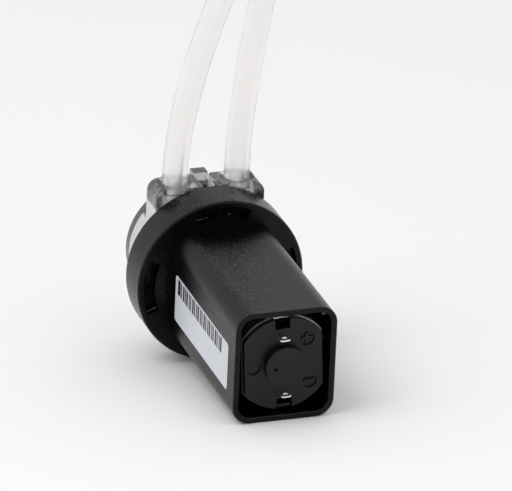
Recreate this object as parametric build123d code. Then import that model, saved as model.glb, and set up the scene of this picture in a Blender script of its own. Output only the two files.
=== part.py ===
"""Peristaltic pump head with its gear motor: housing with a bayonet cup, DC motor, two-stage
planetary gearbox, three-roller rotor, clear head with two ports and the pump tube.

Frame: +Y along the pump axis from the motor to the head, +Z towards the two tubes, origin on
the axis at the rear face of the housing's cup. Lengths are in millimetres.
"""
import os
from math import acos, atan2, cos, degrees, hypot, pi, radians, sin, tan

from build123d import *

# ---- driving dimensions: housing ----
SLEEVE_WIDTH = 26.0
SLEEVE_HEIGHT = 29.5
SLEEVE_CORNER = 4.6
SLEEVE_WALL = 1.5
SLEEVE_RIM_BREAK = 0.25
CUP_RADIUS = 21.6
CUP_DEPTH = 10.2
CUP_WALL = 1.2
CUP_FLOOR = 2.0
BULKHEAD = 2.0
RIM_BREAK = 0.4
BAYONET_COUNT = 4
CATCH_SPAN = 43.0           # degrees, also the windows behind the catches
LUG_SPAN = 44.0             # degrees
LUG_THICKNESS = 2.8
CATCH_THICKNESS = 2.4
RIB_PLACE = 4.0             # height of the motor's ribs above and below the axis
RIB_WIDTH = 1.2

# ---- driving dimensions: motor ----
MOTOR_LENGTH = 32.2
MOTOR_RECESS = 1.4
MOTOR_TURN = -3.5           # degrees: the motor sits a little askew in its sleeve
MOTOR_SIDE_GAP = 1.2
MOTOR_TOP_GAP = 0.75
CAN_WALL = 0.8
CAN_ROUND = 0.7
CAP_INSET = 0.35
CAP_THICKNESS = 1.5
CAP_SPIGOT = 1.0
CAP_BOSS_RADIUS = 5.1
CAP_BOSS_HEIGHT = 2.1
CAP_BOSS_FACE = 0.9
CAP_NOTCH_WIDTH = 3.9
CAP_NOTCH_DEPTH = 2.8
CAP_PIN_HOLE = (-2.6, -0.3)
PIN_HOLE_RADIUS = 0.5
MARK_RADIUS = 1.9
MARK_DEPTH = 0.5
MARK_STROKE = 0.8
PLUS_PLACE = (6.2, 5.8)
MINUS_PLACE = (6.6, -5.8)
GATE_PLACE = (-7.7, 0.0)
MOTOR_SHAFT_RADIUS = 1.0
FRONT_BOSS_RADIUS = 3.1
FRONT_BOSS_HEIGHT = 1.2
BEARING_DEPTH = 2.0
BEARING_WALL = 1.4
AIR_GAP = 0.68
FLAT_SPACE = 1.3            # between the armature and the can's flats
MAGNET_SPAN = 96.0          # degrees
MAGNET_REAR_SPACE = 3.8
MAGNET_FRONT_SPACE = 5.0
POLE_SPAN = 76.0            # degrees of each winding slot
SLOT_MOUTH_SPAN = 14.0      # degrees
SLOT_LINER_SPAN = 2.0       # degrees at each side of a coil
POLE_SHOE = 1.3
CORE_HUB_RADIUS = 3.2
COIL_END = 1.5
COMMUTATOR_RADIUS = 2.6
BRUSH_LENGTH = 1.4
BRUSH_WIDTH = 1.6
SPRING_THICKNESS = 0.4
SPRING_WIDTH = 2.0
TERMINAL_WIDTH = 3.0
TERMINAL_THICKNESS = 0.4
TERMINAL_REACH = 2.4
TERMINAL_HOLE = 0.7
TERMINAL_ROUND = 1.0
UPPER_TERMINAL_INSET = 5.3
LOWER_TERMINAL_INSET = 4.5

# ---- driving dimensions: gearbox ----
PRESSURE_ANGLE = radians(25.0)
SUN_TEETH = 12
PLANET_TEETH = 18
RING_TEETH = SUN_TEETH + 2 * PLANET_TEETH
PLANET_COUNT = 3
TOOTH_BACKLASH = 0.08
RING_WALL = 1.27
END_PLATE = 1.5
GEAR_FACE = 3.6
CARRIER_PLATE = 1.6
CARRIER_RIM = 1.4
GEAR_PIN_RADIUS = 0.75
OUTPUT_SHAFT_RADIUS = 1.5
OUTPUT_FLAT = 0.4
BUSH_WALL = 1.5
BUSH_FLANGE = 0.6
GEARBOX_SCREW_RADIUS = 1.0
GEARBOX_SCREW_INSET = 3.9
SCREW_HEAD_WIDER = 0.5
SCREW_HEAD_HEIGHT = 1.4
DRIVER_SLOT = 0.4
MOTOR_SCREW_OFFSET = 6.6
MOTOR_SCREW_HEAD = 0.8

# ---- driving dimensions: rotor, head and tube ----
TUBE_OUTER_RADIUS = 3.2
TUBE_BORE_RADIUS = 1.6
TUBE_SPREAD = 8.15
TUBE_PLANE = 14.9
SQUEEZED_TUBE = 2.3
ROLLER_RADIUS = 3.0
ROLLER_LENGTH = 8.8
ROLLER_PIN_RADIUS = 1.0
ROTOR_PLATE = 1.2
CLIP_THICKNESS = 0.5
CLIP_WIDTH = 1.2
CLIP_SPAN = 290.0           # degrees
HEAD_RADIUS = 16.8
HEAD_FRONT = 25.6
HEAD_SKIRT = 1.5
COVER_THICKNESS = 3.0
COVER_BREAK = 0.5
HEAD_FLOOR = 1.4
PORT_INNER = 1.9
PORT_OUTER = 14.1
PORT_DROP = 0.2             # port tops below the level of the cup's rim
PORT_DEPTH = 7.8
PORT_AHEAD = 0.5            # how far the ports' middle is behind the tubes
PORT_ROUND = 3.0
PORT_EDGE = 0.6
TAB_WIDTH = 3.8
TAB_DEPTH = 3.2
TUBE_STOP_HEIGHT = 2.0
TUBE_STOP_WALL = 1.1
COVER_SCREW_RADIUS = 0.9
COVER_SCREW_LENGTH = 7.0
COVER_SCREW_HEAD = 1.1
COVER_SCREW_ANGLES = (20.0, 160.0, 235.0, 305.0)

# ---- named clearances ----
RUN = 0.05          # radial, shaft in its bush or gear on its pin
SEAT = 0.02         # radial, pressed or seated round pieces
GAP = 0.3           # between faces that pass each other
SOFT = 0.3          # around the soft tube
FIT = 0.15          # the gearbox in its sleeve
PLATE_GAP = 0.8     # between the first planets and the end plate
SUNK = 0.3          # heads and tips of screws below the faces round them
LAP = 0.2           # joined solids reach this far into each other

# ---- places along the axis, from the sizes above ----
ring_front = -BULKHEAD
bush_rear = -BULKHEAD - BUSH_FLANGE
carrier_2_front = bush_rear - GAP
carrier_2_rear = carrier_2_front - CARRIER_PLATE
planet_2_front = carrier_2_rear - GAP
planet_2_rear = planet_2_front - GEAR_FACE
carrier_1_front = planet_2_rear - GAP
carrier_1_rear = carrier_1_front - CARRIER_PLATE
planet_1_front = carrier_1_rear - GAP
planet_1_rear = planet_1_front - GEAR_FACE
plate_front = planet_1_rear - PLATE_GAP
motor_front = plate_front - END_PLATE
motor_rear = motor_front - MOTOR_LENGTH
can_rear = motor_rear + CAP_THICKNESS
cap_inner = can_rear + CAP_SPIGOT
boss_rear = motor_rear - CAP_BOSS_HEIGHT
bearing_pocket = boss_rear + CAP_BOSS_FACE
sleeve_rear = motor_rear - MOTOR_RECESS

# ---- radii and widths, from the sizes above ----
motor_radius = SLEEVE_HEIGHT / 2 - SLEEVE_WALL - MOTOR_TOP_GAP
motor_flats = SLEEVE_WIDTH - 2 * (SLEEVE_WALL + MOTOR_SIDE_GAP)
upper_terminal_z = motor_radius - UPPER_TERMINAL_INSET
lower_terminal_z = LOWER_TERMINAL_INSET - motor_radius
bearing_radius = MOTOR_SHAFT_RADIUS + BEARING_WALL
armature_radius = motor_flats / 2 - CAN_WALL - FLAT_SPACE
coil_span = POLE_SPAN - 2 * SLOT_LINER_SPAN
magnet_outer = motor_radius - CAN_WALL - SEAT
magnet_rear = cap_inner + MAGNET_REAR_SPACE
magnet_front = motor_front - MAGNET_FRONT_SPACE
ring_radius = SLEEVE_WIDTH / 2 - SLEEVE_WALL - FIT
gear_module = (ring_radius - RING_WALL) / (RING_TEETH / 2 + 1.2)
sun_radius = gear_module * SUN_TEETH / 2
planet_radius = gear_module * PLANET_TEETH / 2
ring_pitch_radius = gear_module * RING_TEETH / 2
planet_orbit = sun_radius + planet_radius
carrier_radius = planet_orbit + GEAR_PIN_RADIUS + CARRIER_RIM
shaft_hole_radius = MOTOR_SHAFT_RADIUS + RUN

cup_inner = CUP_RADIUS - CUP_WALL
lug_radius = cup_inner - GAP
catch_inner = HEAD_RADIUS + GAP
head_rear = CUP_FLOOR + GAP
lug_front = head_rear + LUG_THICKNESS
catch_rear = lug_front + GAP

raceway = TUBE_SPREAD + TUBE_OUTER_RADIUS + SOFT
roller_reach = raceway - SOFT - SQUEEZED_TUBE - SOFT
roller_orbit = roller_reach - ROLLER_RADIUS
roller_rear = TUBE_PLANE - ROLLER_LENGTH / 2
roller_front = TUBE_PLANE + ROLLER_LENGTH / 2
rotor_plate_front = roller_rear - GAP
rotor_plate_rear = rotor_plate_front - ROTOR_PLATE
front_plate_rear = roller_front + GAP
front_plate_front = front_plate_rear + ROTOR_PLATE
rotor_radius = roller_reach - SOFT
hub_radius = roller_orbit - ROLLER_RADIUS - GAP
floor_front = rotor_plate_rear - GAP
floor_rear = floor_front - HEAD_FLOOR
cover_rear = HEAD_FRONT - COVER_THICKNESS
cover_boss_rear = front_plate_front + CLIP_THICKNESS + GAP
shaft_tip = cover_rear + COVER_THICKNESS / 2
port_front = TUBE_PLANE + PORT_DEPTH / 2 - PORT_AHEAD
port_rear = port_front - PORT_DEPTH
port_top = CUP_RADIUS - PORT_DROP
pocket_top = TUBE_SPREAD + 1.0
stop_radius = TUBE_OUTER_RADIUS + TUBE_STOP_WALL
screw_circle = (raceway + HEAD_RADIUS) / 2

# the free tubes above the ports: X and Z of each route point, all in the plane of the tubes
LEFT_ROUTE = [(-8.15, 16.0), (-8.15, 29.0), (-5.7, 44.0), (-1.9, 59.0), (2.6, 71.5)]
RIGHT_ROUTE = [(8.15, 16.0), (8.15, 29.0), (9.3, 43.5), (11.2, 58.0), (13.2, 71.5)]
tube_joint_z = LEFT_ROUTE[0][1]

pieces = {}


# ---- drawing helpers ----
def slab(profile, start, end):
    """A profile drawn in X and Z, extruded from start to end along the axis."""
    return extrude(Plane.XZ.offset(-start) * profile, amount=start - end)


def disc(radius, start, end, x=0.0, z=0.0):
    return slab(Pos(x, z) * Circle(radius), start, end)


def ring(outer, inner, start, end, x=0.0, z=0.0):
    return slab(Pos(x, z) * (Circle(outer) - Circle(inner)), start, end)


def block(x_range, y_range, z_range):
    size = [high - low for low, high in (x_range, y_range, z_range)]
    centre = [(low + high) / 2 for low, high in (x_range, y_range, z_range)]
    return Pos(*centre) * Box(*size)


def group(solids):
    """Like pieces that share one node, each still a solid of its own."""
    return Part() + solids


def sector(outer, inner, middle, span):
    """A ring sector centred on the angle middle, in degrees."""
    start, end = radians(middle - span / 2), radians(middle + span / 2)
    centre = radians(middle)

    def at(radius, angle):
        return (radius * cos(angle), radius * sin(angle))

    outline = [
        Line(at(inner, start), at(outer, start)),
        ThreePointArc(at(outer, start), at(outer, centre), at(outer, end)),
        Line(at(outer, end), at(inner, end)),
        ThreePointArc(at(inner, end), at(inner, centre), at(inner, start)),
    ]
    return make_face(Wire(outline))


def around(count, first=0.0):
    """Evenly spaced angles in degrees."""
    return [first + 360.0 * step / count for step in range(count)]


def polar(radius, angle):
    return radius * cos(radians(angle)), radius * sin(radians(angle))


# ---- housing ----
def sleeve_profile(inset=0.0):
    corner = max(SLEEVE_CORNER - inset, 0.5)
    return RectangleRounded(SLEEVE_WIDTH - 2 * inset, SLEEVE_HEIGHT - 2 * inset, corner)


def gearbox_screw_places():
    x = SLEEVE_WIDTH / 2 - GEARBOX_SCREW_INSET
    z = SLEEVE_HEIGHT / 2 - GEARBOX_SCREW_INSET
    return [(sx * x, sz * z) for sx in (-1, 1) for sz in (-1, 1)]


def turned(piece):
    """The motor's own parts, turned a little about the axis."""
    return Rot(0, MOTOR_TURN, 0) * piece


def motor_ribs():
    """Ribs on the sleeve's inside that steady the motor on its flats."""
    inner, outer = motor_flats / 2 + SEAT, SLEEVE_WIDTH / 2 - SLEEVE_WALL / 2
    ribs = []
    for side in (-1, 1):
        for z in (-RIB_PLACE, RIB_PLACE):
            rib_z = (z - RIB_WIDTH / 2, z + RIB_WIDTH / 2)
            across = sorted((side * inner, side * outer))
            ribs.append(block(across, (cap_inner + LAP, motor_front - CAN_ROUND), rib_z))
    return [turned(rib) for rib in ribs]


def make_housing():
    sleeve = slab(sleeve_profile(), sleeve_rear, CUP_FLOOR)
    sleeve -= slab(sleeve_profile(SLEEVE_WALL), sleeve_rear - 1, -BULKHEAD)
    sleeve = chamfer(sleeve.faces().sort_by(Axis.Y)[0].edges(), SLEEVE_RIM_BREAK)
    cup = disc(CUP_RADIUS, 0, CUP_DEPTH)
    cup = chamfer(cup.edges().filter_by(GeomType.CIRCLE), RIM_BREAK)
    cup -= disc(cup_inner, CUP_FLOOR, CUP_DEPTH + 1)
    housing = sleeve + cup
    for angle in around(BAYONET_COUNT):
        catch = sector(cup_inner + LAP, catch_inner, angle, CATCH_SPAN)
        housing += slab(catch, catch_rear, catch_rear + CATCH_THICKNESS)
        window = sector(lug_radius, catch_inner, angle, CATCH_SPAN)
        housing -= slab(window, -1, CUP_FLOOR + 1)
    housing -= disc(OUTPUT_SHAFT_RADIUS + BUSH_WALL + SEAT, -BULKHEAD - 1, CUP_FLOOR + 1)
    for x, z in gearbox_screw_places():
        housing -= disc(GEARBOX_SCREW_RADIUS + SEAT, -BULKHEAD - 1, CUP_FLOOR / 2, x, z)
    for rib in motor_ribs():
        housing += rib
    return housing


# ---- motor ----
def motor_profile(inset=0.0):
    flats = Rectangle(motor_flats - 2 * inset, 2 * motor_radius)
    return Circle(motor_radius - inset) & flats


def make_can():
    boss_front = motor_front + FRONT_BOSS_HEIGHT
    bearing_rear = motor_front - BEARING_DEPTH
    can = slab(motor_profile(), can_rear, motor_front)
    can = chamfer(can.faces().sort_by(Axis.Y)[-1].edges(), CAN_ROUND)
    can -= slab(motor_profile(CAN_WALL), can_rear - 1, motor_front - CAN_WALL)
    can += disc(FRONT_BOSS_RADIUS, bearing_rear, boss_front)
    can -= disc(bearing_radius + SEAT, bearing_rear - 1, boss_front + 1)
    for x, z in motor_screw_places():
        can -= disc(GEARBOX_SCREW_RADIUS + SEAT, motor_front - BEARING_DEPTH, motor_front + 1, x, z)
    pieces["motor_can"] = turned(can)
    bearing = ring(bearing_radius, shaft_hole_radius, bearing_rear, boss_front)
    pieces["motor_front_bearing"] = bearing
    magnet_inner = armature_radius + AIR_GAP
    for name, angle in (("upper_magnet", 90), ("lower_magnet", 270)):
        arc = sector(magnet_outer, magnet_inner, angle, MAGNET_SPAN)
        pieces[name] = turned(slab(arc, magnet_rear, magnet_front))


def terminal_lug(z, front):
    """A flat lug with round corners and a wire hole, lying in a plane of constant Z."""
    lug_end = motor_rear - TERMINAL_REACH
    outline = Pos(0, (lug_end + front) / 2) * Rectangle(TERMINAL_WIDTH, front - lug_end)
    outline = fillet(outline.vertices().sort_by(Axis.Y)[:2], TERMINAL_ROUND)
    hole_place = lug_end + TERMINAL_HOLE + TERMINAL_THICKNESS
    outline -= Pos(0, hole_place) * Circle(TERMINAL_HOLE)
    return Pos(0, 0, z - TERMINAL_THICKNESS / 2) * extrude(outline, amount=TERMINAL_THICKNESS)


def make_end_cap():
    cap = slab(motor_profile(CAP_INSET), motor_rear, can_rear)
    cap += slab(motor_profile(CAN_WALL + SEAT), can_rear, cap_inner)
    cap += disc(CAP_BOSS_RADIUS, boss_rear, can_rear)
    for side in (-1, 1):
        notch = sorted((side * (motor_radius - CAP_INSET - CAP_NOTCH_DEPTH), side * (motor_radius + 1)))
        half = CAP_NOTCH_WIDTH / 2
        cap -= block((-half, half), (motor_rear - 1, cap_inner + 1), notch)
    cap -= disc(bearing_radius + SEAT, bearing_pocket, cap_inner + 1)
    cap -= disc(PIN_HOLE_RADIUS, boss_rear - 1, bearing_pocket - LAP, *CAP_PIN_HOLE)
    for z in (upper_terminal_z, lower_terminal_z):
        half, thick = TERMINAL_WIDTH / 2 + SEAT, TERMINAL_THICKNESS / 2 + SEAT
        cap -= block((-half, half), (motor_rear - 1, cap_inner + 1), (z - thick, z + thick))
    # polarity marks and a gate recess in the cap's face
    for x, z in (PLUS_PLACE, MINUS_PLACE, GATE_PLACE):
        cap -= disc(MARK_RADIUS, motor_rear - 1, motor_rear + MARK_DEPTH, x, z)
    reach, half = MARK_RADIUS * 0.75, MARK_STROKE / 2
    raised = (motor_rear, motor_rear + MARK_DEPTH + LAP)
    for x, z in (PLUS_PLACE, MINUS_PLACE):
        cap += block((x - reach, x + reach), raised, (z - half, z + half))
    x, z = PLUS_PLACE
    cap += block((x - half, x + half), raised, (z - reach, z + reach))
    pieces["motor_end_cap"] = turned(cap)
    bearing = ring(bearing_radius, shaft_hole_radius, bearing_pocket, cap_inner + BEARING_WALL / 2)
    pieces["motor_rear_bearing"] = bearing


def make_armature():
    shaft = disc(MOTOR_SHAFT_RADIUS, bearing_pocket + LAP, carrier_1_rear + CARRIER_PLATE * 0.75)
    pieces["motor_shaft"] = shaft
    core = Circle(armature_radius) - Circle(MOTOR_SHAFT_RADIUS + SEAT)
    slot_outer = armature_radius - POLE_SHOE
    for angle in around(PLANET_COUNT, 90):
        core -= sector(slot_outer, CORE_HUB_RADIUS, angle, POLE_SPAN)
        core -= sector(armature_radius + 1, slot_outer - LAP, angle, SLOT_MOUTH_SPAN)
    core_rear, core_front = magnet_rear + 1.0, magnet_front - 1.0
    pieces["armature_core"] = slab(core, core_rear, core_front)
    coils = [sector(slot_outer - SEAT, CORE_HUB_RADIUS + SEAT, angle, coil_span)
             for angle in around(PLANET_COUNT, 90)]
    coil = Sketch() + coils
    pieces["armature_windings"] = slab(coil, core_rear - COIL_END, core_front + COIL_END)
    front = core_rear - COIL_END - FIT
    commutator = ring(COMMUTATOR_RADIUS, MOTOR_SHAFT_RADIUS + SEAT, commutator_rear_face(), front)
    pieces["commutator"] = commutator


def make_terminals():
    """Each terminal's lug outside the cap, and the bent spring that carries its brush inside."""
    arm_rear = cap_inner + GAP
    arm_front = arm_rear + SPRING_THICKNESS
    brush_rear = commutator_rear_face() + GAP
    brush_front = brush_rear + BRUSH_LENGTH
    brush_inner = COMMUTATOR_RADIUS + RUN
    brush_outer = brush_inner + BRUSH_LENGTH
    terminals, brushes = [], []
    for z in (upper_terminal_z, lower_terminal_z):
        side = 1 if z > 0 else -1
        half_spring, half_brush = SPRING_WIDTH / 2, BRUSH_WIDTH / 2
        arm = block((-half_spring, half_spring), (arm_rear, arm_front), sorted((z, side * brush_outer)))
        finger_z = sorted((side * brush_outer, side * (brush_outer + SPRING_THICKNESS)))
        finger = block((-half_spring, half_spring), (arm_rear, brush_front), finger_z)
        terminals.append(turned(terminal_lug(z, arm_front) + arm + finger))
        reach = sorted((side * brush_inner, side * brush_outer))
        brushes.append(turned(block((-half_brush, half_brush), (brush_rear, brush_front), reach)))
    pieces["motor_terminals"] = group(terminals)
    pieces["carbon_brushes"] = group(brushes)


def commutator_rear_face():
    return cap_inner + BEARING_WALL / 2 + GAP


def motor_screw_places():
    return [polar(MOTOR_SCREW_OFFSET, angle) for angle in (0, 180)]


# ---- gears ----
def involute(angle):
    return tan(angle) - angle


def half_tooth(teeth, radius, widened):
    """Half the angle of an involute tooth at that radius; widened is added at the pitch circle."""
    pitch = gear_module * teeth / 2
    base = pitch * cos(PRESSURE_ANGLE)
    local = acos(min(1.0, base / radius))
    return pi / (2 * teeth) + widened / (2 * pitch) + involute(PRESSURE_ANGLE) - involute(local)


def toothed(teeth, radii, first, widened):
    """An outline with one tooth per pitch, through the involute at each of the radii."""
    points = []
    for tooth in range(teeth):
        middle = first + 2 * pi * tooth / teeth
        rise = [(r, middle - half_tooth(teeth, r, widened)) for r in radii]
        fall = [(r, middle + half_tooth(teeth, r, widened)) for r in reversed(radii)]
        points += [(r * cos(angle), r * sin(angle)) for r, angle in rise + fall]
    return make_face(Polyline(*points, close=True))


def gear_profile(teeth, first=0.0):
    pitch = gear_module * teeth / 2
    radii = [pitch - 1.2 * gear_module, pitch - 0.3 * gear_module, pitch + 0.9 * gear_module]
    return toothed(teeth, radii, first, -TOOTH_BACKLASH)


def ring_opening():
    tip = ring_pitch_radius - 0.8 * gear_module
    root = ring_pitch_radius + 1.2 * gear_module
    radii = [tip, ring_pitch_radius, root]
    return toothed(RING_TEETH, radii, pi / RING_TEETH, TOOTH_BACKLASH)


def planet_places():
    """X and Z of each planet's axis and the phase that meshes it with the sun and the ring."""
    places = []
    for angle in around(PLANET_COUNT):
        theta = radians(angle)
        phase = theta + pi + theta * SUN_TEETH / PLANET_TEETH + pi / PLANET_TEETH
        places.append((*polar(planet_orbit, angle), phase))
    return places


def make_planets(stage, rear, front):
    for letter, (x, z, phase) in zip("abc", planet_places()):
        profile = gear_profile(PLANET_TEETH, phase) - Circle(GEAR_PIN_RADIUS + RUN)
        pieces[f"planet_{stage}{letter}"] = slab(Pos(x, z) * profile, rear, front)


def pin_group(rear, front):
    pins = [disc(GEAR_PIN_RADIUS, rear, front, x, z) for x, z, _ in planet_places()]
    return group(pins)


def with_pin_holes(carrier, rear, front):
    for x, z, _ in planet_places():
        carrier -= disc(GEAR_PIN_RADIUS + SEAT, rear - 1, front + 1, x, z)
    return carrier


def screw_with_head(radius, head_radius, head_range, shank_range, x, z):
    """A screw along the axis with a slot across the rear of its head."""
    head = disc(head_radius, *head_range, x, z)
    head -= block((x - radius, x + radius), (head_range[0] - 1, head_range[0] + DRIVER_SLOT),
                  (z - DRIVER_SLOT / 2, z + DRIVER_SLOT / 2))
    return head + disc(radius, *shank_range, x, z)


def make_gearbox_case():
    plate = slab(sleeve_profile(SLEEVE_WALL + FIT), motor_front, plate_front)
    plate -= disc(FRONT_BOSS_RADIUS + RUN, motor_front - 1, plate_front + 1)
    body = Circle(ring_radius)
    lug = GEARBOX_SCREW_RADIUS + RING_WALL
    head_radius = GEARBOX_SCREW_RADIUS + SCREW_HEAD_WIDER
    for x, z in gearbox_screw_places():
        body += Pos(x, z) * Circle(lug)
        web = Rectangle(hypot(x, z), 2 * lug)
        body += Pos(x / 2, z / 2) * Rot(0, 0, degrees(atan2(z, x))) * web
    body = body & sleeve_profile(SLEEVE_WALL + FIT)
    gear_ring = slab(body - ring_opening(), plate_front, ring_front)
    screws = []
    for x, z in gearbox_screw_places():
        hole = disc(GEARBOX_SCREW_RADIUS + SEAT, motor_front - 1, ring_front + 1, x, z)
        plate -= hole
        gear_ring -= hole
        heads = (motor_front - SCREW_HEAD_HEIGHT, motor_front)
        shank = (motor_front - LAP, CUP_FLOOR / 2 - SUNK)
        screws.append(screw_with_head(GEARBOX_SCREW_RADIUS, head_radius, heads, shank, x, z))
    pieces["ring_gear"] = gear_ring
    pieces["gearbox_screws"] = group(screws)
    motor_screws = []
    for x, z in motor_screw_places():
        plate -= turned(disc(GEARBOX_SCREW_RADIUS + SEAT, motor_front - 1, plate_front + 1, x, z))
        plate -= turned(disc(head_radius + SEAT, plate_front - MOTOR_SCREW_HEAD, plate_front + 1, x, z))
        head = disc(head_radius, plate_front - MOTOR_SCREW_HEAD, plate_front, x, z)
        shank = disc(GEARBOX_SCREW_RADIUS, motor_front - END_PLATE, plate_front - LAP, x, z)
        motor_screws.append(turned(head + shank))
    pieces["gearbox_end_plate"] = plate
    pieces["motor_screws"] = group(motor_screws)


def make_gear_train():
    sun = gear_profile(SUN_TEETH)
    sun_1 = slab(sun - Circle(MOTOR_SHAFT_RADIUS + SEAT), planet_1_rear - 0.1, planet_1_front)
    pieces["sun_gear"] = sun_1
    make_planets(1, planet_1_rear, planet_1_front)
    make_planets(2, planet_2_rear, planet_2_front)

    carrier_1 = disc(carrier_radius, carrier_1_rear, carrier_1_front)
    carrier_1 += slab(sun, carrier_1_front, planet_2_front)
    carrier_1 -= disc(shaft_hole_radius, carrier_1_rear - 1, planet_2_front + 1)
    pieces["first_carrier"] = with_pin_holes(carrier_1, carrier_1_rear, carrier_1_front)
    pieces["first_carrier_pins"] = pin_group(planet_1_rear, carrier_1_front)

    carrier_2 = disc(carrier_radius, carrier_2_rear, carrier_2_front)
    carrier_2 -= disc(OUTPUT_SHAFT_RADIUS + SEAT, carrier_2_rear - 1, carrier_2_front + 1)
    pieces["second_carrier"] = with_pin_holes(carrier_2, carrier_2_rear, carrier_2_front)
    pieces["second_carrier_pins"] = pin_group(planet_2_rear, carrier_2_front)

    shaft = disc(MOTOR_SHAFT_RADIUS, carrier_1_front - LAP, carrier_2_rear)
    shaft += disc(OUTPUT_SHAFT_RADIUS, carrier_2_rear, shaft_tip)
    shaft -= shaft_flat(rotor_plate_rear, front_plate_rear)
    pieces["output_shaft"] = shaft
    bore = OUTPUT_SHAFT_RADIUS + RUN
    bush = ring(OUTPUT_SHAFT_RADIUS + BUSH_WALL, bore, -BULKHEAD, CUP_FLOOR)
    bush += ring(OUTPUT_SHAFT_RADIUS + BUSH_WALL + 1, bore, bush_rear, -BULKHEAD)
    pieces["output_bush"] = bush


def shaft_flat(start, end, spare=0.0):
    """The space beside the shaft's drive flat."""
    flat = OUTPUT_SHAFT_RADIUS - OUTPUT_FLAT + spare
    wide = OUTPUT_SHAFT_RADIUS + 1
    return block((-wide, wide), (start, end), (flat, wide))


# ---- rotor ----
def roller_places():
    return [polar(roller_orbit, angle) for angle in around(3, 90)]


def make_rotor():
    bore = disc(OUTPUT_SHAFT_RADIUS + SEAT, rotor_plate_rear - 1, front_plate_rear + 1)
    bore -= shaft_flat(rotor_plate_rear - 1, front_plate_rear + 1, SEAT)
    hub = disc(rotor_radius, rotor_plate_rear, rotor_plate_front)
    hub += disc(hub_radius, rotor_plate_front, front_plate_rear)
    hub -= bore
    plate = ring(rotor_radius, OUTPUT_SHAFT_RADIUS + SEAT, front_plate_rear, front_plate_front)
    pins = []
    for letter, (x, z) in zip("abc", roller_places()):
        hole = disc(ROLLER_PIN_RADIUS + SEAT, rotor_plate_rear - 1, front_plate_front + 1, x, z)
        hub -= hole
        plate -= hole
        pins.append(disc(ROLLER_PIN_RADIUS, rotor_plate_rear, front_plate_front, x, z))
        roller = ring(ROLLER_RADIUS, ROLLER_PIN_RADIUS + RUN, roller_rear, roller_front, x, z)
        pieces[f"roller_{letter}"] = roller
    pieces["rotor_hub"] = hub
    pieces["rotor_front_plate"] = plate
    pieces["roller_pins"] = group(pins)
    clip = sector(OUTPUT_SHAFT_RADIUS + CLIP_WIDTH, OUTPUT_SHAFT_RADIUS + SEAT, 90, CLIP_SPAN)
    pieces["shaft_clip"] = slab(clip, front_plate_front, front_plate_front + CLIP_THICKNESS)


# ---- head ----
def port_profile(side):
    width, height = PORT_OUTER - PORT_INNER, port_top - TUBE_SPREAD
    port = Pos(side * (PORT_INNER + PORT_OUTER) / 2, port_top - height / 2) * Rectangle(width, height)
    top = port.vertices().sort_by(Axis.Y)[-2:].sort_by(Axis.X)
    port = fillet(top[-1] if side > 0 else top[0], PORT_ROUND)
    top = port.vertices().sort_by(Axis.Y)[-2:].sort_by(Axis.X)
    return fillet(top[0] if side > 0 else top[-1], PORT_EDGE)


def tube_bore(side, radius, start, end):
    column = Pos(side * TUBE_SPREAD, TUBE_PLANE, (start + end) / 2)
    return column * Cylinder(radius, end - start)


def screw_places():
    return [polar(screw_circle, angle) for angle in COVER_SCREW_ANGLES]


def make_head_body():
    body = disc(HEAD_RADIUS, head_rear, cover_rear)
    for angle in around(BAYONET_COUNT):
        lug = sector(lug_radius, HEAD_RADIUS - 1, angle, LUG_SPAN)
        body += slab(lug, head_rear, lug_front)
    for side in (-1, 1):
        body += slab(port_profile(side), port_rear, port_front)
    half = TAB_WIDTH / 2
    tab_rear = port_front + GAP
    body += block((-half, half), (tab_rear, tab_rear + TAB_DEPTH), (HEAD_RADIUS - 1, port_top))
    body -= disc(HEAD_RADIUS - HEAD_SKIRT, head_rear - 1, floor_rear)
    pocket = Circle(raceway) + Pos(0, pocket_top / 2) * Rectangle(2 * raceway, pocket_top)
    body -= slab(pocket, floor_front, cover_rear + 1)
    body -= disc(OUTPUT_SHAFT_RADIUS + SOFT, floor_rear - 1, floor_front + 1)
    for side in (-1, 1):
        body -= tube_bore(side, TUBE_OUTER_RADIUS + RUN, pocket_top - 1, port_top + 1)
        body -= tube_bore(side, stop_radius + SEAT, port_top - TUBE_STOP_HEIGHT, port_top + 1)
    for x, z in screw_places():
        hole_end = cover_rear - COVER_SCREW_LENGTH - SUNK
        body -= disc(COVER_SCREW_RADIUS + SEAT, hole_end, cover_rear + 1, x, z)
    pieces["head_body"] = body
    for name, side in (("left_tube_stop", -1), ("right_tube_stop", 1)):
        stop = tube_bore(side, stop_radius, port_top - TUBE_STOP_HEIGHT, port_top)
        stop -= tube_bore(side, TUBE_OUTER_RADIUS + SEAT, port_top - TUBE_STOP_HEIGHT - 1, port_top + 1)
        pieces[name] = stop


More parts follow.
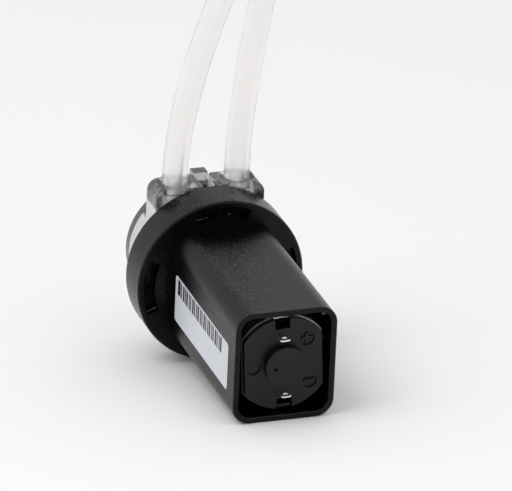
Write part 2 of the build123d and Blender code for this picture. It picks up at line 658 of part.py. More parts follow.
def make_cover():
    """The front cover with a bearing boss for the shaft's tip, and its sunk screws."""
    head_seat = HEAD_FRONT - SUNK - COVER_SCREW_HEAD
    head_radius = COVER_SCREW_RADIUS + SCREW_HEAD_WIDER
    cover = disc(HEAD_RADIUS, cover_rear, HEAD_FRONT)
    cover = chamfer(cover.faces().sort_by(Axis.Y)[-1].edges(), COVER_BREAK)
    cover += disc(OUTPUT_SHAFT_RADIUS + BUSH_WALL, cover_boss_rear, cover_rear + LAP)
    cover -= disc(OUTPUT_SHAFT_RADIUS + RUN, cover_boss_rear - 1, shaft_tip + GAP)
    screws = []
    for x, z in screw_places():
        cover -= disc(COVER_SCREW_RADIUS + SEAT, cover_rear - 1, HEAD_FRONT + 1, x, z)
        cover -= disc(head_radius + RUN, head_seat, HEAD_FRONT + 1, x, z)
        head = disc(head_radius, head_seat, HEAD_FRONT - SUNK, x, z)
        head -= block((x - COVER_SCREW_RADIUS, x + COVER_SCREW_RADIUS),
                      (HEAD_FRONT - SUNK - DRIVER_SLOT, HEAD_FRONT),
                      (z - DRIVER_SLOT / 2, z + DRIVER_SLOT / 2))
        shank = disc(COVER_SCREW_RADIUS, cover_rear - COVER_SCREW_LENGTH, head_seat + LAP, x, z)
        screws.append(head + shank)
    pieces["front_cover"] = cover
    pieces["cover_screws"] = group(screws)


# ---- tube ----
def make_tube_loop():
    """The squeezed half turn of the pump tube and its two legs, up to the joints in the ports."""
    middle = raceway - SOFT - SQUEEZED_TUBE / 2
    flat_width = TUBE_OUTER_RADIUS * pi - SQUEEZED_TUBE / 2
    section = Rectangle(SQUEEZED_TUBE, flat_width)
    section = chamfer(section.vertices(), SQUEEZED_TUBE * 0.3)
    start = Plane(origin=(middle, TUBE_PLANE, 0), x_dir=(1, 0, 0), z_dir=(0, 0, 1))
    band = revolve(start * section, Axis((0, 0, 0), (0, 1, 0)), 180)
    leg_top = pocket_top
    flat = Plane(origin=(-middle, TUBE_PLANE, 0), x_dir=(1, 0, 0), z_dir=(0, 0, 1))
    whole = Plane(origin=(-TUBE_SPREAD, TUBE_PLANE, leg_top), x_dir=(1, 0, 0), z_dir=(0, 0, 1))
    leg = loft([flat * section, whole * Circle(TUBE_OUTER_RADIUS)], ruled=True)
    leg += tube_bore(-1, TUBE_OUTER_RADIUS, leg_top, tube_joint_z)
    leg -= disc(raceway - SOFT - SQUEEZED_TUBE, rotor_plate_rear - 1, front_plate_front + 1)
    leg -= tube_bore(-1, TUBE_BORE_RADIUS, leg_top + 1, tube_joint_z + 1)
    loop = band + leg + mirror(leg, Plane.YZ)
    pieces["pump_tube_loop"] = loop


def route_radii(points):
    """One arc radius for each corner, as large as its two runs allow."""
    radii = []
    for before, corner, after in zip(points, points[1:], points[2:]):
        run_in = hypot(corner[0] - before[0], corner[1] - before[1])
        run_out = hypot(after[0] - corner[0], after[1] - corner[1])
        heading_in = atan2(corner[1] - before[1], corner[0] - before[0])
        heading_out = atan2(after[1] - corner[1], after[0] - corner[0])
        turn = abs(heading_out - heading_in)
        radii.append(0.45 * min(run_in, run_out) / tan(turn / 2))
    return radii


def make_free_tube(name, points):
    radii = route_radii(points)
    path = FilletPolyline(*[(x, TUBE_PLANE, z) for x, z in points], radius=radii)
    section = Plane(origin=path @ 0, x_dir=(1, 0, 0), z_dir=path % 0)
    tube = sweep(section * Circle(TUBE_OUTER_RADIUS), path=path)
    tube -= sweep(section * Circle(TUBE_BORE_RADIUS), path=path)
    area = pi * (TUBE_OUTER_RADIUS ** 2 - TUBE_BORE_RADIUS ** 2)
    print(name, "radii", [round(radius, 1) for radius in radii])
    print(name, "length", round(path.length, 2), "volume ratio", round(tube.volume / area / path.length, 4))
    pieces[name] = tube


pieces["housing"] = make_housing()
make_can()
make_end_cap()
make_armature()
make_terminals()
make_gearbox_case()
make_gear_train()
make_rotor()
make_head_body()
make_cover()
make_tube_loop()
make_free_tube("left_tube", LEFT_ROUTE)
make_free_tube("right_tube", RIGHT_ROUTE)

os.makedirs("parts", exist_ok=True)
for name, piece in pieces.items():
    piece.label = name
    export_step(piece, f"parts/{name}.step")
print(len(pieces), "nodes")
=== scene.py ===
"""Looks of a peristaltic pump head with its gear motor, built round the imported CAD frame.

Everything is in metres in the frame of the CAD model: +Y along the pump axis towards the head,
+Z towards the tubes, origin on the axis at the rear face of the round cup.
"""
import math

import bmesh
import bpy
from mathutils import Matrix, Vector


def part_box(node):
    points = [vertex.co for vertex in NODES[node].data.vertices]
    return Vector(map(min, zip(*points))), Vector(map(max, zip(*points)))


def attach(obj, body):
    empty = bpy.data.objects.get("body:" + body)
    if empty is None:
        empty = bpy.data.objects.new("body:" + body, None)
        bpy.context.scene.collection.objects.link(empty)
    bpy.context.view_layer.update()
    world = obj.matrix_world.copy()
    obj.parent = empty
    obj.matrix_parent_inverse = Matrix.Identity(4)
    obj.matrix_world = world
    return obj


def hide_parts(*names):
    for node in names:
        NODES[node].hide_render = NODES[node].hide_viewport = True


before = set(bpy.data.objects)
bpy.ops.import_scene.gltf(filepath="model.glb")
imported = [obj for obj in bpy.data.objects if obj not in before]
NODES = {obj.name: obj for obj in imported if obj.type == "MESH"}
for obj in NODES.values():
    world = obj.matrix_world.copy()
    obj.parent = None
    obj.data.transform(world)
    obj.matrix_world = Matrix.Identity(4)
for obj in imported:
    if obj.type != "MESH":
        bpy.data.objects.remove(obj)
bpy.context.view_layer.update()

MM = 0.001
SLEEVE_WIDTH = 26.0 * MM
SLEEVE_HEIGHT = 29.5 * MM
SLEEVE_WALL = 1.5 * MM
SLEEVE_REAR = -50.1 * MM
HOUSING_LOW, HOUSING_HIGH = (Vector(corner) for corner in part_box("housing"))


# ---------------------------------------------------------------- camera
CAMERA_AZIMUTH = math.radians(-19.6)
CAMERA_ELEVATION = math.radians(24.6)
CAMERA_ROLL = math.radians(2.6)
CAMERA_DISTANCE = 67.58 * SLEEVE_HEIGHT
CAMERA_SIDEWAYS = -0.2966 * SLEEVE_HEIGHT
CAMERA_UPWARDS = -0.3002 * SLEEVE_HEIGHT
CAMERA_LENS_MM = 564.0


def make_camera():
    """A long lens far away: nearly parallel views, from behind the motor and above."""
    level = math.cos(CAMERA_ELEVATION)
    back = Vector((
        math.sin(CAMERA_AZIMUTH) * level,
        -math.cos(CAMERA_AZIMUTH) * level,
        math.sin(CAMERA_ELEVATION),
    ))
    right = (-back).cross(Vector((0, 0, 1))).normalized()
    up = right.cross(-back)
    cosine, sine = math.cos(CAMERA_ROLL), math.sin(CAMERA_ROLL)
    right, up = cosine * right + sine * up, cosine * up - sine * right
    data = bpy.data.cameras.new("camera")
    data.sensor_width = 36.0
    data.lens = CAMERA_LENS_MM
    data.clip_start = 0.1
    data.clip_end = 50.0
    camera = bpy.data.objects.new("camera", data)
    bpy.context.collection.objects.link(camera)
    place = back * CAMERA_DISTANCE - right * CAMERA_SIDEWAYS - up * CAMERA_UPWARDS
    turn = Matrix((right, up, back)).transposed().to_4x4()
    camera.matrix_world = Matrix.Translation(place) @ turn
    bpy.context.scene.camera = camera


# ---------------------------------------------------------------- shader helpers
def new_material(name, **sockets):
    """A Principled material with constant values on the shader's own sockets."""
    material = bpy.data.materials.new(name)
    material.use_nodes = True
    shader = material.node_tree.nodes["Principled BSDF"]
    for socket, value in sockets.items():
        shader.inputs[socket.replace("_", " ")].default_value = value
    return material


def shader_of(material):
    return material.node_tree.nodes["Principled BSDF"]


def coordinates(tree, stretch=(1, 1, 1)):
    """Object coordinates in metres, stretched along each axis."""
    source = tree.nodes.new("ShaderNodeTexCoord")
    mapping = tree.nodes.new("ShaderNodeMapping")
    mapping.inputs["Scale"].default_value = stretch
    tree.links.new(source.outputs["Object"], mapping.inputs["Vector"])
    return mapping.outputs["Vector"]


def noise(tree, size, detail=3.0, stretch=(1, 1, 1)):
    """Noise whose features are about size metres across."""
    node = tree.nodes.new("ShaderNodeTexNoise")
    node.inputs["Scale"].default_value = 1.0 / size
    node.inputs["Detail"].default_value = detail
    tree.links.new(coordinates(tree, stretch), node.inputs["Vector"])
    return node.outputs["Fac"]


def remap(tree, value, low, high, start=0.3, end=0.7):
    node = tree.nodes.new("ShaderNodeMapRange")
    node.inputs["From Min"].default_value = start
    node.inputs["From Max"].default_value = end
    node.inputs["To Min"].default_value = low
    node.inputs["To Max"].default_value = high
    tree.links.new(value, node.inputs["Value"])
    return node.outputs["Result"]


def rise(tree, value, start, end):
    """0 up to the start, 1 from the end on."""
    return remap(tree, value, 0.0, 1.0, start=start, end=end)


def fall(tree, value, start, end):
    """1 up to the start, 0 from the end on."""
    return remap(tree, value, 1.0, 0.0, start=start, end=end)


def by_factor(tree, factor, at_zero, at_one):
    """A number that goes from one value to another as the factor goes from 0 to 1."""
    return remap(tree, factor, at_zero, at_one, start=0.0, end=1.0)


def blend_colours(tree, factor, first, second):
    node = tree.nodes.new("ShaderNodeMix")
    node.data_type = "RGBA"
    node.inputs["A"].default_value = (*first, 1.0)
    node.inputs["B"].default_value = (*second, 1.0)
    tree.links.new(factor, node.inputs["Factor"])
    return node.outputs["Result"]


def calculate(tree, operation, *values):
    node = tree.nodes.new("ShaderNodeMath")
    node.operation = operation
    for value, socket in zip(values, node.inputs):
        tree.links.new(value, socket)
    return node.outputs["Value"]


def multiply(tree, first, second):
    return calculate(tree, "MULTIPLY", first, second)


def split_axes(tree, vector):
    """The X, Y and Z sockets of a vector."""
    split = tree.nodes.new("ShaderNodeSeparateXYZ")
    tree.links.new(vector, split.inputs["Vector"])
    return split.outputs["X"], split.outputs["Y"], split.outputs["Z"]


def mix_sockets(tree, factor, source, colour):
    """From the linked colour to a constant one, as the factor rises."""
    node = tree.nodes.new("ShaderNodeMix")
    node.data_type = "RGBA"
    node.inputs["B"].default_value = (*colour, 1.0)
    tree.links.new(source, node.inputs["A"])
    tree.links.new(factor, node.inputs["Factor"])
    return node.outputs["Result"]


def vary_colour(material, size, first, second, detail=3.0, stretch=(1, 1, 1)):
    tree = material.node_tree
    factor = remap(tree, noise(tree, size, detail, stretch), 0.0, 1.0)
    colour = blend_colours(tree, factor, first, second)
    tree.links.new(colour, shader_of(material).inputs["Base Color"])


def vary_roughness(material, size, low, high, detail=4.0, stretch=(1, 1, 1)):
    tree = material.node_tree
    value = remap(tree, noise(tree, size, detail, stretch), low, high)
    tree.links.new(value, shader_of(material).inputs["Roughness"])


def add_bump(material, height, depth, strength=1.0):
    """Adds a bump layer of that height field on top of the layers already there."""
    tree = material.node_tree
    normal = shader_of(material).inputs["Normal"]
    node = tree.nodes.new("ShaderNodeBump")
    node.inputs["Distance"].default_value = depth
    node.inputs["Strength"].default_value = strength
    tree.links.new(height, node.inputs["Height"])
    if normal.is_linked:
        tree.links.new(normal.links[0].from_socket, node.inputs["Normal"])
    tree.links.new(node.outputs["Normal"], normal)


def noise_bump(material, size, depth, strength=1.0, detail=2.0, stretch=(1, 1, 1)):
    add_bump(material, noise(material.node_tree, size, detail, stretch), depth, strength)


# ---------------------------------------------------------------- materials
def black_plastic(name, dark, light, grain, roughness, sheen):
    """Moulded black plastic: spark-eroded grain, faint flow marks, uneven sheen."""
    material = new_material(name, Specular_IOR_Level=sheen, IOR=1.5)
    vary_colour(material, 3.0 * MM, dark, light, detail=6.0)
    vary_roughness(material, 0.5 * MM, roughness - 0.06, roughness + 0.08)
    noise_bump(material, grain, 0.02 * MM, strength=0.5)
    noise_bump(material, 2.0 * grain, 0.02 * MM, strength=0.4)
    noise_bump(material, 4.0 * MM, 0.02 * MM, strength=0.3)
    return material


def clear_plastic(name, tint, roughness, ior=1.49, clearness=1.0):
    material = new_material(name, Transmission_Weight=clearness, IOR=ior)
    vary_colour(material, 5.0 * MM, tint, tuple(0.94 * part for part in tint))
    vary_roughness(material, 2.0 * MM, roughness, roughness + 0.06)
    noise_bump(material, 3.0 * MM, 0.03 * MM, strength=0.4)
    return material


# where one painted shade of the head, or one tint of the cover, gives way to the next
PORT_ENDS = (11.0 * MM, 11.8 * MM)          # distance from the YZ plane
RIGHT_PORT_END = (10.8 * MM, 11.6 * MM)     # X
TAB_SIDES = (3.8 * MM, 4.8 * MM)            # distance from the YZ plane
SIDE_WALLS = (13.0 * MM, 13.7 * MM)         # distance from the YZ plane
PORT_FEET = (15.5 * MM, 17.0 * MM)          # Z
LUG_FRONTS = (HOUSING_HIGH.y - 1.5 * MM, HOUSING_HIGH.y - 0.5 * MM)     # Y
COVER_FACE_EDGE = (15.6 * MM, 16.2 * MM)    # distance from the pump axis

# painted shade on the head's clear plastic: the port ends, the right port, the part between the ports
# and the lug faces inside the cup
PORT_END_PAINTED_SHADE = (0.35, 0.35, 0.36)
RIGHT_PORT_PAINTED_SHADE = (0.15, 0.15, 0.155)
TAB_PAINTED_SHADE = (0.55, 0.53, 0.51)
LUG_PAINTED_SHADE = (0.004, 0.004, 0.004)
COVER_FACE_TINT = (0.55, 0.56, 0.58)


def head_plastic():
    """The head's clear plastic, shaded by place to match the photograph.

    The port ends beside the tubes are painted grey as shade, the right port darker still, and the part
    between the ports above their feet is painted grey as shade; the side of the head is made cloudy.
    The lug faces inside the cup are painted black as shade, with their reflection turned down; why they
    are dark isn't known.
    """
    material = clear_plastic("head_clear", (0.97, 0.98, 1.0), 0.08, ior=1.3, clearness=0.88)
    tree, shader = material.node_tree, shader_of(material)
    x, y, z = split_axes(tree, coordinates(tree))
    across = calculate(tree, "ABSOLUTE", x)
    side = multiply(tree, rise(tree, across, *SIDE_WALLS), fall(tree, z, *PORT_FEET))
    port_end_shade = multiply(tree, rise(tree, across, *PORT_ENDS), by_factor(tree, side, 1.0, 0.0))
    tab_shade = multiply(tree, fall(tree, across, *TAB_SIDES), rise(tree, z, *PORT_FEET))
    lug_shade = fall(tree, y, *LUG_FRONTS)
    colour = shader.inputs["Base Color"].links[0].from_socket
    # painted shade: grey port ends, a darker right port, grey between the ports above their feet, black
    # lug faces
    colour = mix_sockets(tree, port_end_shade, colour, PORT_END_PAINTED_SHADE)
    colour = mix_sockets(tree, rise(tree, x, *RIGHT_PORT_END), colour, RIGHT_PORT_PAINTED_SHADE)
    colour = mix_sockets(tree, tab_shade, colour, TAB_PAINTED_SHADE)
    colour = mix_sockets(tree, lug_shade, colour, LUG_PAINTED_SHADE)
    tree.links.new(colour, shader.inputs["Base Color"])
    # the lug faces' reflection is turned down as part of their painted shade
    tree.links.new(by_factor(tree, lug_shade, 0.5, 0.02), shader.inputs["Specular IOR Level"])
    tree.links.new(by_factor(tree, side, 0.9, 0.38), shader.inputs["Transmission Weight"])
    return material


def cover_plastic():
    """Smoky clear cover: the rotor shows through its face, its thick rim is cloudy and dark."""
    material = clear_plastic("cover_smoky", (0.14, 0.14, 0.145), 0.15)
    tree, shader = material.node_tree, shader_of(material)
    length = tree.nodes.new("ShaderNodeVectorMath")
    length.operation = "LENGTH"
    tree.links.new(coordinates(tree, stretch=(1, 0, 1)), length.inputs[0])
    face = fall(tree, length.outputs["Value"], *COVER_FACE_EDGE)
    colour = shader.inputs["Base Color"].links[0].from_socket
    colour = mix_sockets(tree, face, colour, COVER_FACE_TINT)
    tree.links.new(colour, shader.inputs["Base Color"])
    tree.links.new(by_factor(tree, face, 0.6, 0.97), shader.inputs["Transmission Weight"])
    return material


def metal(name, colour, roughness, brushed=(1, 1, 1), size=0.3):
    material = new_material(name, Metallic=1.0)
    vary_colour(material, 2.0 * MM, colour, tuple(0.82 * part for part in colour), stretch=brushed)
    vary_roughness(material, 0.5 * MM, roughness, roughness + 0.15, stretch=brushed)
    noise_bump(material, size * MM, 0.01 * MM, strength=0.5, stretch=brushed)
    return material


def moulded(name, colour, roughness, subsurface=0.0):
    material = new_material(name, Subsurface_Weight=subsurface, Subsurface_Scale=1.0 * MM)
    vary_colour(material, 4.0 * MM, colour, tuple(0.93 * part for part in colour))
    vary_roughness(material, 1.0 * MM, roughness, roughness + 0.1)
    noise_bump(material, 0.25 * MM, 0.01 * MM, strength=0.4)
    return material


def tube_material():
    """Milky pump tubing, which softens the light that passes through it."""
    material = new_material("tube_skin", Transmission_Weight=0.88, IOR=1.15, Subsurface_Weight=0.5)
    shader_of(material).inputs["Subsurface Scale"].default_value = 2.0 * MM
    vary_colour(material, 6.0 * MM, (0.99, 0.985, 0.975), (0.98, 0.975, 0.965))
    vary_roughness(material, 2.0 * MM, 0.42, 0.5)
    noise_bump(material, 2.5 * MM, 0.01 * MM, strength=0.2, stretch=(1, 1, 0.1))
    return material


# painted shade on the can below its top edge, and the heights over which painted light takes over
ZINC_PAINTED_SHADE = (0.05, 0.05, 0.05)
ZINC_PAINTED_LIGHT_FROM = (6.0 * MM, 9.5 * MM)     # Z


def can_zinc():
    """Zinc plate with painted light along the can's top edge and painted shade below it."""
    material = metal("zinc_plate", (0.45, 0.43, 0.38), 0.4)
    tree, base = material.node_tree, shader_of(material).inputs["Base Color"]
    height = split_axes(tree, coordinates(tree))[2]
    # painted shade below the can's top edge, painted light along it
    zinc_shade_mask = fall(tree, height, *ZINC_PAINTED_LIGHT_FROM)
    tree.links.new(mix_sockets(tree, zinc_shade_mask, base.links[0].from_socket, ZINC_PAINTED_SHADE), base)
    return material


MATERIALS = {
    "housing": black_plastic(
        "housing_black", (0.0005, 0.0004, 0.0004), (0.0014, 0.0012, 0.0012),
        grain=0.12 * MM, roughness=0.27, sheen=0.195),
    "pip": black_plastic(
        "pip_black", (0.004, 0.004, 0.004), (0.01, 0.01, 0.01),
        grain=0.1 * MM, roughness=0.16, sheen=0.5),
    "cap": black_plastic(
        "motor_cap_black", (0.002, 0.002, 0.002), (0.004, 0.004, 0.004),
        grain=0.25 * MM, roughness=0.4, sheen=0.3),
    "clear": head_plastic(),
    "smoky": cover_plastic(),
    "tube": tube_material(),
    "steel": metal("drawn_steel", (0.62, 0.62, 0.61), 0.25),
    "zinc": can_zinc(),
    "tinned": metal("tinned_lug", (0.86, 0.85, 0.82), 0.18),
    "bronze": metal("sintered_bronze", (0.45, 0.3, 0.15), 0.45),
    "copper": metal("enamelled_copper", (0.72, 0.33, 0.16), 0.3, brushed=(1, 0.1, 1)),
    "ferrite": moulded("ferrite", (0.05, 0.05, 0.055), 0.7),
    "lamination": metal("laminations", (0.3, 0.3, 0.32), 0.5, brushed=(0.1, 6, 0.1)),
    "carbon": moulded("brush_carbon", (0.02, 0.02, 0.02), 0.6),
    "acetal": moulded("acetal_white", (0.82, 0.81, 0.77), 0.35, subsurface=0.2),
    "grey": moulded("moulded_grey", (0.1, 0.105, 0.115), 0.5),
}

NODE_MATERIALS = {
    "housing": "housing",
    "motor_end_cap": "cap",
    "motor_can": "zinc",
    "motor_terminals": "tinned",
    "head_body": "clear",
    "left_tube_stop": "clear",
    "right_tube_stop": "clear",
    "front_cover": "smoky",
    "pump_tube_loop": "tube",
    "left_tube": "tube",
    "right_tube": "tube",
    "motor_front_bearing": "bronze",
    "motor_rear_bearing": "bronze",
    "sun_gear": "bronze",
    "output_bush": "bronze",
    "upper_magnet": "ferrite",
    "lower_magnet": "ferrite",
    "armature_core": "lamination",
    "armature_windings": "copper",
    "commutator": "copper",
    "carbon_brushes": "carbon",
    "ring_gear": "grey",
    "first_carrier": "grey",
    "second_carrier": "grey",
    "rotor_hub": "acetal",
    "rotor_front_plate": "acetal",
}


def dress_nodes():
    """Gives each CAD node its material; planets and rollers are acetal, all else is steel."""
    for name, node in NODES.items():
        white = name.startswith(("planet", "roller")) and name != "roller_pins"
        key = NODE_MATERIALS.get(name, "acetal" if white else "steel")
        for slot in node.material_slots:
            slot.link = "OBJECT"
            slot.material = MATERIALS[key]


# ---------------------------------------------------------------- mesh helpers
def new_object(name, mesh, material, body="root", smooth=False):
    piece = bpy.data.objects.new(name, mesh)
    bpy.context.collection.objects.link(piece)
    mesh.materials.append(material)
    for polygon in mesh.polygons:
        polygon.use_smooth = smooth
    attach(piece, body)
    return piece


def rounded_outline(low_y, high_y, low_z, high_z, radius, steps=8):
    """Points of a rounded rectangle in Y and Z, anticlockwise."""
    points = []
    corners = [
        (high_y - radius, high_z - radius, 0),
        (low_y + radius, high_z - radius, 90),
        (low_y + radius, low_z + radius, 180),
        (high_y - radius, low_z + radius, 270),
    ]
    for centre_y, centre_z, first in corners:
        for step in range(steps + 1):
            angle = math.radians(first + 90 * step / steps)
            points.append((centre_y + radius * math.cos(angle), centre_z + radius * math.sin(angle)))
    return points


def plate(mesh_points, low_x, high_x):
    """A closed plate between two X planes with the given outline in Y and Z."""
    build = bmesh.new()
    far = [build.verts.new((low_x, y, z)) for y, z in mesh_points]
    near = [build.verts.new((high_x, y, z)) for y, z in mesh_points]
    build.faces.new(far)
    build.faces.new(list(reversed(near)))
    count = len(mesh_points)
    for index in range(count):
        following = (index + 1) % count
        build.faces.new((far[following], far[index], near[index], near[following]))
    bmesh.ops.recalc_face_normals(build, faces=build.faces)
    mesh = bpy.data.meshes.new("plate")
    build.to_mesh(mesh)
    build.free()
    return mesh


# ---------------------------------------------------------------- tubes
TUBE_PLANE = 14.9 * MM
TUBE_OUTER = 3.2 * MM
TUBE_INNER = 1.6 * MM
# X and Z of each route point in millimetres, as in the CAD model
LEFT_ROUTE = [(-8.15, 16.0), (-8.15, 29.0), (-5.7, 44.0), (-1.9, 59.0), (2.6, 71.5)]
RIGHT_ROUTE = [(8.15, 16.0), (8.15, 29.0), (9.3, 43.5), (11.2, 58.0), (13.2, 71.5)]


def route_line(name, route):
    """The smooth line of a tube: points read from the NURBS spline of its route."""
    curve = bpy.data.curves.new(name + "_route", "CURVE")
    curve.dimensions = "3D"
    curve.resolution_u = 12
    spline = curve.splines.new("NURBS")
    spline.points.add(len(route) - 1)
    for point, (x, z) in zip(spline.points, route):
        point.co = (x * MM, TUBE_PLANE, z * MM, 1.0)
    spline.order_u = 3
    spline.use_endpoint_u = True
    holder = bpy.data.objects.new(name + "_route", curve)
    mesh = bpy.data.meshes.new_from_object(holder)
    line = [vertex.co.copy() for vertex in mesh.vertices]
    bpy.data.objects.remove(holder)
    bpy.data.curves.remove(curve)
    bpy.data.meshes.remove(mesh)
    return line


def hollow_tube_mesh(line, sides=40):
    """A tube wall round the line: outer skin, bore and the two cut rings."""
    build = bmesh.new()
    across = Vector((0, 1, 0))
    rings = []
    for index, centre in enumerate(line):
        before, after = line[max(index - 1, 0)], line[min(index + 1, len(line) - 1)]
        side = (after - before).normalized().cross(across).normalized()
        for radius in (TUBE_OUTER, TUBE_INNER):
            turns = (2 * math.pi * step / sides for step in range(sides))
            ring = [centre + radius * (math.cos(a) * side + math.sin(a) * across) for a in turns]
            rings.append([build.verts.new(point) for point in ring])
    outer, inner = rings[0::2], rings[1::2]

    def join(first, second):
        for step in range(sides):
            following = (step + 1) % sides
            build.faces.new((first[step], first[following], second[following], second[step]))

    for skin in (outer, inner):
        for first, second in zip(skin, skin[1:]):
            join(first, second)
    join(inner[0], outer[0])
    join(outer[-1], inner[-1])
    bmesh.ops.recalc_face_normals(build, faces=build.faces)
    mesh = bpy.data.meshes.new("tube")
    build.to_mesh(mesh)
    build.free()
    return mesh


def make_tube(node, route):
    line = route_line(node, route)
    piece = new_object(node + "_skin", hollow_tube_mesh(line), MATERIALS["tube"], "head", smooth=True)
    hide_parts(node)


# ---------------------------------------------------------------- label
LABEL_FRONT = -3.75 * MM
LABEL_REAR = -44.9 * MM
LABEL_LOW = -7.2 * MM
LABEL_HIGH = 5.0 * MM
LABEL_CORNER = 1.0 * MM
LABEL_TILT = 0.009
LABEL_THICKNESS = 0.08 * MM
LABEL_SUNK = 0.01 * MM
BAR_LOW = 0.45 * MM
BAR_HIGH = 4.55 * MM
BAR_WIDTHS = (5, 1, 2, 2, 3, 1, 2, 1, 3, 2, 2, 1, 2, 2, 3, 1, 2, 2, 2, 1, 3, 2, 2, 1,
              2, 2, 3, 1, 2, 2, 2, 1, 3, 2, 2, 1, 2, 2, 3, 1, 2, 2, 2, 1, 3)
BAR_UNIT = 0.385 * MM
BAR_MARGIN = 1.9 * MM
INK_RAISED = 0.01 * MM
INK_SUNK = 0.005 * MM


def tilted(points):
    """The label was stuck on a little askew: its rear end sits lower."""
    return [(y, z + LABEL_TILT * (y - LABEL_FRONT)) for y, z in points]


def make_label(wall_x):
    """A white sticker with plain bars in its upper half; the place below them is bare."""
    paper = new_material("label_paper", Specular_IOR_Level=0.4)
    vary_colour(paper, 8.0 * MM, (0.61, 0.625, 0.675), (0.65, 0.665, 0.715))
    vary_roughness(paper, 1.5 * MM, 0.35, 0.5)
    noise_bump(paper, 0.4 * MM, 0.01 * MM, strength=0.3)
    outline = tilted(rounded_outline(LABEL_REAR, LABEL_FRONT, LABEL_LOW, LABEL_HIGH, LABEL_CORNER))
    surface = wall_x - LABEL_THICKNESS
    sheet = new_object("label", plate(outline, surface, wall_x + LABEL_SUNK), paper)
    ink = new_material("label_ink", Specular_IOR_Level=0.4)
    vary_colour(ink, 1.0 * MM, (0.004, 0.004, 0.006), (0.012, 0.012, 0.015))
    vary_roughness(ink, 1.0 * MM, 0.4, 0.5)
    build = bmesh.new()
    place = LABEL_FRONT - BAR_MARGIN
    for order, width in enumerate(BAR_WIDTHS):
        span = width * BAR_UNIT
        if order % 2 == 0:
            low, high = (place - span, BAR_LOW), (place, BAR_HIGH)
            corners = [low, (high[0], low[1]), high, (low[0], high[1])]
            bar = plate(tilted(corners), surface - INK_RAISED, surface + INK_SUNK)
            build.from_mesh(bar)
        place -= span
    mesh = bpy.data.meshes.new("label_bars")
    build.to_mesh(mesh)
    build.free()
    bars = new_object("label_bars", mesh, ink)


# ---------------------------------------------------------------- gate pip
PIP_PLACE = (9.3 * MM, 0.25 * MM, 0.25 * MM)    # X, ahead of the rear edge, below the top wall
PIP_RADII = (0.62 * MM, 0.4 * MM, 0.45 * MM)


def make_gate_pip(sleeve_rear, inner_top):
    """A small domed pip under the sleeve's top wall, taken to be where the mould was filled."""
    build = bmesh.new()
    bmesh.ops.create_uvsphere(build, u_segments=20, v_segments=12, radius=1.0)
    for vertex in build.verts:
        torn = 1.0 + 0.12 * math.sin(5 * vertex.co.x + 2) * math.cos(4 * vertex.co.z)
        vertex.co.z = max(vertex.co.z, -0.8) * torn
    shape = Matrix.Diagonal((*PIP_RADII, 1.0))
    place = Vector((PIP_PLACE[0], sleeve_rear + PIP_PLACE[1], inner_top - PIP_PLACE[2]))
    build.transform(Matrix.Translation(place) @ shape)
    mesh = bpy.data.meshes.new("gate_pip")
    build.to_mesh(mesh)
    build.free()
    pip = new_object("gate_pip", mesh, MATERIALS["pip"], smooth=True)


# ---------------------------------------------------------------- stage
FLOOR_REACH = 6.0
FLOOR_GAP = 0.02 * MM
REAR_EDGE_DEPTH = 0.5 * MM
CUP_REST_AHEAD = 0.3 * MM


def floor_plane():
    """Depth and slope of the surface that the cup's rim and the sleeve's rear edge lie on."""
    rear = HOUSING_LOW.y
    vertices = [vertex.co for vertex in NODES["housing"].data.vertices]
    sleeve_low = min(point.z for point in vertices if point.y < rear + REAR_EDGE_DEPTH)
    cup_low = HOUSING_LOW.z
    slope = math.atan2(sleeve_low - cup_low, -rear + CUP_REST_AHEAD)
    return Vector((0, rear, sleeve_low - FLOOR_GAP)), slope


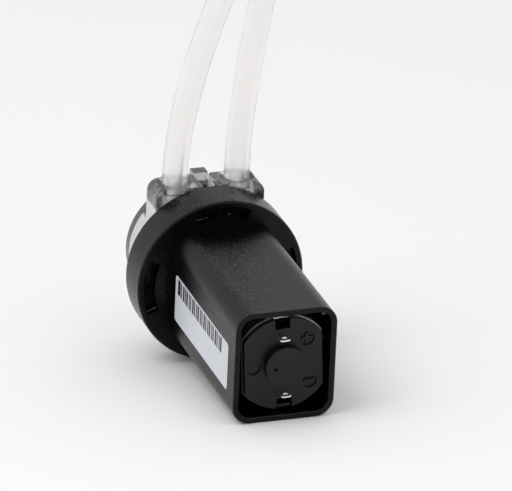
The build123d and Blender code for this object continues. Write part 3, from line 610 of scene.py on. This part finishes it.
def make_floor():
    place, slope = floor_plane()
    material = new_material("floor_white", Roughness=0.9, Specular_IOR_Level=0.1)
    vary_colour(material, 0.4, (0.92, 0.915, 0.93), (0.94, 0.935, 0.95))
    mesh = bpy.data.meshes.new("floor")
    signs = ((-1, -1), (1, -1), (1, 1), (-1, 1))
    corners = [(FLOOR_REACH * x, FLOOR_REACH * y, 0) for x, y in signs]
    mesh.from_pydata(corners, [], [(0, 1, 2, 3)])
    floor = bpy.data.objects.new("floor", mesh)
    bpy.context.collection.objects.link(floor)
    mesh.materials.append(material)
    floor.matrix_world = Matrix.Translation(place) @ Matrix.Rotation(-slope, 4, "X")


def area_light(name, place, target, size, power):
    data = bpy.data.lights.new(name, "AREA")
    data.shape = "RECTANGLE"
    data.size, data.size_y = size
    data.energy = power
    light = bpy.data.objects.new(name, data)
    bpy.context.collection.objects.link(light)
    aim = Vector(target) - Vector(place)
    light.rotation_euler = aim.to_track_quat("-Z", "Y").to_euler()
    light.location = place


LIGHT_NEAR_CAMERA, LIGHT_BEHIND = 0.67, 0.87
LIGHT_TURN = (-0.6, 0.7)                    # Y of the directions between which the light changes
BACKGROUND = (0.9, 0.9, 0.9)
BLACK, WHITE = (0.0, 0.0, 0.0), (1.0, 1.0, 1.0)


def make_lights():
    """A white studio: brighter light from behind the object, and one pale background."""
    world = bpy.data.worlds.new("studio")
    bpy.context.scene.world = world
    world.use_nodes = True
    tree = world.node_tree
    source = tree.nodes.new("ShaderNodeTexCoord")
    depth = split_axes(tree, source.outputs["Generated"])[1]
    start, end = LIGHT_TURN
    strength = remap(tree, depth, LIGHT_NEAR_CAMERA, LIGHT_BEHIND, start=start, end=end)
    light = blend_colours(tree, strength, BLACK, WHITE)
    path = tree.nodes.new("ShaderNodeLightPath")
    seen = calculate(tree, "MAXIMUM", path.outputs["Is Camera Ray"], path.outputs["Is Transmission Ray"])
    seen = calculate(tree, "MAXIMUM", seen, path.outputs["Is Glossy Ray"])
    shown = mix_sockets(tree, seen, light, BACKGROUND)
    tree.links.new(shown, tree.nodes["Background"].inputs["Color"])
    area_light("key", (-0.7, -0.1, 1.1), (0, 0, 0), size=(0.8, 0.8), power=5.2)
    area_light("fill", (0.3, -0.5, 0.7), (0, 0, 0), size=(0.6, 0.6), power=0.4)


make_camera()
make_tube("left_tube", LEFT_ROUTE)
make_tube("right_tube", RIGHT_ROUTE)
dress_nodes()
make_label(-SLEEVE_WIDTH / 2)
make_gate_pip(SLEEVE_REAR, SLEEVE_HEIGHT / 2 - SLEEVE_WALL)
make_floor()
make_lights()
bpy.context.scene.view_settings.view_transform = "Standard"
